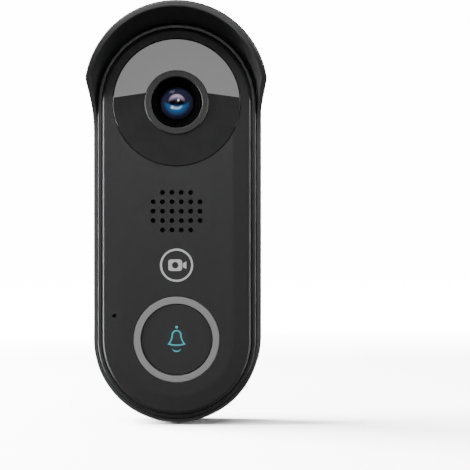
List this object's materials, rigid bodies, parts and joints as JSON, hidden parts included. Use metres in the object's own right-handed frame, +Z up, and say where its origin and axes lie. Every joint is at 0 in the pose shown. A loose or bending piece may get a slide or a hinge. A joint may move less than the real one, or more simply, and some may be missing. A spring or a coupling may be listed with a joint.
{
  "type": "video doorbell",
  "caption": "Pill-shaped wired video doorbell with a round camera window, sound holes and a lit bell button, seated in a wall-mounted rain cover with a hood.",
  "frame": {"origin": "on the wall face of the rain cover, midway between the two wall screw holes", "axes": "+Z up, +X to the right as seen from the street, the front faces -Y"},
  "size_m": [0.0652, 0.0436, 0.1532],
  "materials": {
    "tray_black": "fine-textured satin",
    "case_black": "satin",
    "cover_black": "satin",
    "rubber_black": "matt",
    "screw_steel": "plated",
    "bezel_grey": "matt",
    "window_smoked": "polished, smoked",
    "adhesive_black": "matt",
    "sign_white": "printed ink",
    "vent_white": "membrane",
    "board_green": "solder resist",
    "lamp_clear": "clear",
    "barrel_black": "matt",
    "lens_glass": "coated",
    "chip_black": "moulded",
    "shield_steel": "tinned",
    "antenna_amber": "polyimide film",
    "terminal_green": "moulded",
    "contact_brass": "plated",
    "lead_black": "insulation",
    "cap_black": "satin",
    "icon_teal": "lit from behind",
    "ring_grey": "satin diffuser",
    "mesh_black": "woven",
    "cone_paper": "film",
    "spring_steel": "wire"
  },
  "bodies": {
    "doorbell": {"rain_cover": "tray_black", "rear_case": "case_black", "front_cover": "cover_black", "case_gasket": "rubber_black", "microphone_boot": "rubber_black", "speaker_gasket": "rubber_black", "case_screws": "screw_steel", "board_screws": "screw_steel", "security_screw": "screw_steel", "terminal_screws": "screw_steel", "lens_bezel": "bezel_grey", "camera_window": "window_smoked", "window_adhesive": "adhesive_black", "front_sign": "sign_white", "vent_membrane": "vent_white", "infrared_board": "board_green", "camera_board": "board_green", "main_board": "board_green", "button_board": "board_green", "radio_board": "board_green", "infrared_lamps": "lamp_clear", "ring_lamps": "lamp_clear", "light_sensor": "lamp_clear", "lens_barrel": "barrel_black", "lens_mount": "barrel_black", "front_lens": "lens_glass", "rear_lens": "lens_glass", "image_sensor": "chip_black", "processor": "chip_black", "filter_coil": "chip_black", "power_coil": "chip_black", "bell_switch": "chip_black", "reset_switch": "chip_black", "pin_header": "chip_black", "radio_shield": "shield_steel", "buffer_capacitors": "shield_steel", "microphone": "shield_steel", "speaker_frame": "shield_steel", "speaker_magnet": "shield_steel", "antenna": "antenna_amber", "camera_ribbon": "antenna_amber", "terminal_block": "terminal_green", "wire_clamps": "contact_brass", "speaker_contacts": "contact_brass", "board_pillars": "contact_brass", "lamp_leads": "lead_black", "light_ring": "ring_grey", "speaker_mesh": "mesh_black", "button_spring": "spring_steel"},
    "bell_button": {"button_cap": "cap_black", "bell_icon": "icon_teal"},
    "bell_plunger": {"switch_plunger": "cap_black"},
    "reset_key": {"reset_button": "cap_black"},
    "filter_slide": {"filter_frame": "barrel_black", "infrared_filter": "lens_glass", "clear_pane": "lens_glass"},
    "cone": {"speaker_cone": "cone_paper"}
  },
  "joints": [
    {"name": "bell_press", "type": "slide", "parent": "doorbell", "child": "bell_button", "axis": [0, 1, 0], "range_m": [0, 0.0005], "stiffness_N_per_m": 1500, "deforming": ["button_spring"]},
    {"name": "switch_press", "type": "slide", "parent": "doorbell", "child": "bell_plunger", "axis": [0, 1, 0], "range_m": [0, 0.0005]},
    {"name": "reset_press", "type": "slide", "parent": "doorbell", "child": "reset_key", "axis": [0, -1, 0], "range_m": [0, 0.0004], "stiffness_N_per_m": 800},
    {"name": "cone_drive", "type": "slide", "parent": "doorbell", "child": "cone", "axis": [0, -1, 0], "range_m": [-0.0003, 0.0003], "stiffness_N_per_m": 1500},
    {"name": "filter_shift", "type": "slide", "parent": "doorbell", "child": "filter_slide", "axis": [-1, 0, 0], "range_m": [0, 0.0062]}
  ],
  "couplings": [
    {"joint": "switch_press", "follows": "bell_press", "ratio": 1}
  ]
}
